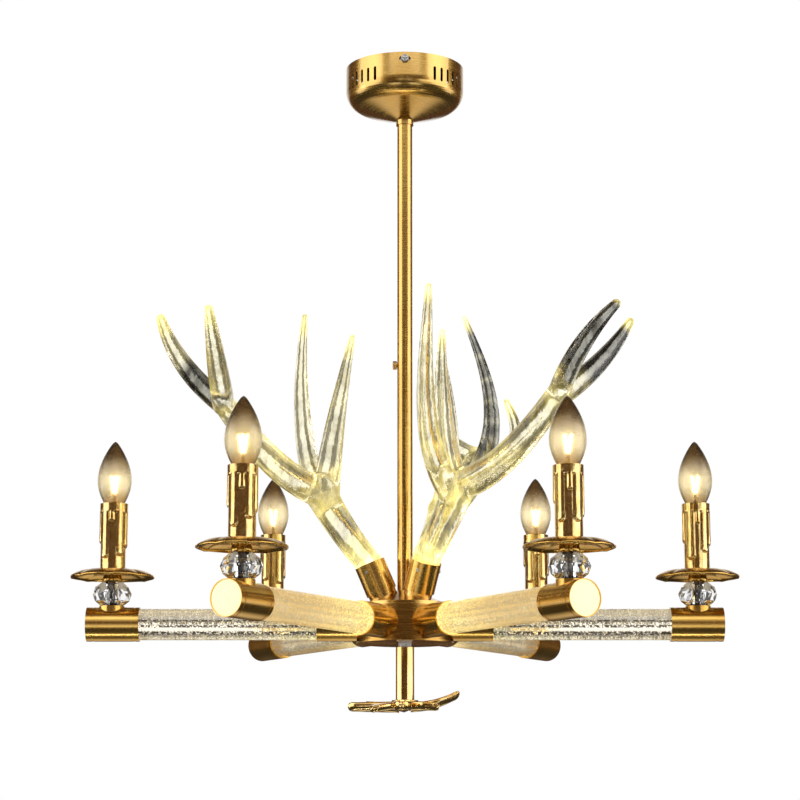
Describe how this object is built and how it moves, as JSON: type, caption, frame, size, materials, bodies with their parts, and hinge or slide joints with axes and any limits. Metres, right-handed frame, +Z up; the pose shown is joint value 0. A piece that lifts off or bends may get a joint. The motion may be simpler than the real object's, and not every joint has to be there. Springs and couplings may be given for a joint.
{
  "type": "antler chandelier",
  "caption": "Ceiling chandelier in brushed brass: a canopy and stem carry a hub with clear lit arms, flame-lamp candles on crystal balls and clear antlers.",
  "frame": {"origin": "centre of the ceiling bracket's top face, on the ceiling", "axes": "+Z up along the stem, +X along arm 1, and the picture looks along +Y"},
  "size_m": [0.686, 0.6056, 0.682],
  "materials": {
    "brushed_brass": "brushed",
    "polished_gold": "polished",
    "bright_steel": "satin",
    "bubbled_acrylic": "clear with fine bubbles",
    "clear_acrylic": "clear",
    "cut_crystal": "cut and polished",
    "lit_disc": "frosted and lit",
    "led_module": "lit",
    "white_plastic": "matt",
    "amber_lamp": "clear smoky glass"
  },
  "bodies": {
    "frame": {"ceiling_bracket": "bright_steel", "hang_nuts": "bright_steel", "hang_nipple": "bright_steel", "led_driver": "white_plastic", "terminal_block": "white_plastic", "stem_tube": "brushed_brass", "hub_drum": "brushed_brass", "hub_cover": "brushed_brass", "hub_plate": "brushed_brass", "hub_nut": "bright_steel", "finial_nipple": "bright_steel", "antler_cups": "brushed_brass", "antler_screws": "bright_steel", "antler_leds": "led_module", "antler_1": "clear_acrylic", "antler_2": "clear_acrylic", "antler_3": "clear_acrylic", "arm_sockets": "brushed_brass", "arm_leds": "led_module", "end_discs": "lit_disc", "crystal_balls": "cut_crystal", "candle_rods": "bright_steel", "lamp_holders": "white_plastic", "arm_rod_1": "bubbled_acrylic", "arm_rod_2": "bubbled_acrylic", "arm_rod_3": "bubbled_acrylic", "arm_rod_4": "bubbled_acrylic", "arm_rod_5": "bubbled_acrylic", "arm_rod_6": "bubbled_acrylic", "arm_cap_1": "brushed_brass", "arm_cap_2": "brushed_brass", "arm_cap_3": "brushed_brass", "arm_cap_4": "brushed_brass", "arm_cap_5": "brushed_brass", "arm_cap_6": "brushed_brass", "drip_pan_1": "brushed_brass", "drip_pan_2": "brushed_brass", "drip_pan_3": "brushed_brass", "drip_pan_4": "brushed_brass", "drip_pan_5": "brushed_brass", "drip_pan_6": "brushed_brass", "candle_sleeve_1": "polished_gold", "candle_sleeve_2": "polished_gold", "candle_sleeve_3": "polished_gold", "candle_sleeve_4": "polished_gold", "candle_sleeve_5": "polished_gold", "candle_sleeve_6": "polished_gold"},
    "canopy": {"canopy": "brushed_brass", "canopy_collar": "brushed_brass"},
    "canopy_screw_front": {"canopy_screw_front": "bright_steel"},
    "canopy_screw_back": {"canopy_screw_back": "bright_steel"},
    "stem_screw": {"stem_screw": "brushed_brass"},
    "finial": {"finial_tube": "polished_gold", "finial_ornament": "polished_gold"},
    "lamp_1": {"lamp_1": "amber_lamp"},
    "lamp_2": {"lamp_2": "amber_lamp"},
    "lamp_3": {"lamp_3": "amber_lamp"},
    "lamp_4": {"lamp_4": "amber_lamp"},
    "lamp_5": {"lamp_5": "amber_lamp"},
    "lamp_6": {"lamp_6": "amber_lamp"}
  },
  "joints": [
    {"name": "canopy_slide", "type": "slide", "parent": "frame", "child": "canopy", "axis": [0, 0, -1], "range_m": [0, 0.15]},
    {"name": "canopy_screw_front_turn", "type": "hinge", "parent": "canopy", "child": "canopy_screw_front", "pos_m": [0, -0.0625, -0.0075], "axis": [0, -1, 0], "continuous": true},
    {"name": "canopy_screw_back_turn", "type": "hinge", "parent": "canopy", "child": "canopy_screw_back", "pos_m": [0, 0.0625, -0.0075], "axis": [0, 1, 0], "continuous": true},
    {"name": "stem_screw_turn", "type": "hinge", "parent": "frame", "child": "stem_screw", "pos_m": [-0.009, 0, -0.321], "axis": [-1, 0, 0], "continuous": true},
    {"name": "finial_turn", "type": "hinge", "parent": "frame", "child": "finial", "pos_m": [0, 0, -0.641], "axis": [0, 0, 1], "continuous": true},
    {"name": "lamp_1_lift", "type": "slide", "parent": "frame", "child": "lamp_1", "axis": [0, 0, 1], "range_m": [0, 0.035]},
    {"name": "lamp_2_lift", "type": "slide", "parent": "frame", "child": "lamp_2", "axis": [0, 0, 1], "range_m": [0, 0.035]},
    {"name": "lamp_3_lift", "type": "slide", "parent": "frame", "child": "lamp_3", "axis": [0, 0, 1], "range_m": [0, 0.035]},
    {"name": "lamp_4_lift", "type": "slide", "parent": "frame", "child": "lamp_4", "axis": [0, 0, 1], "range_m": [0, 0.035]},
    {"name": "lamp_5_lift", "type": "slide", "parent": "frame", "child": "lamp_5", "axis": [0, 0, 1], "range_m": [0, 0.035]},
    {"name": "lamp_6_lift", "type": "slide", "parent": "frame", "child": "lamp_6", "axis": [0, 0, 1], "range_m": [0, 0.035]}
  ]
}
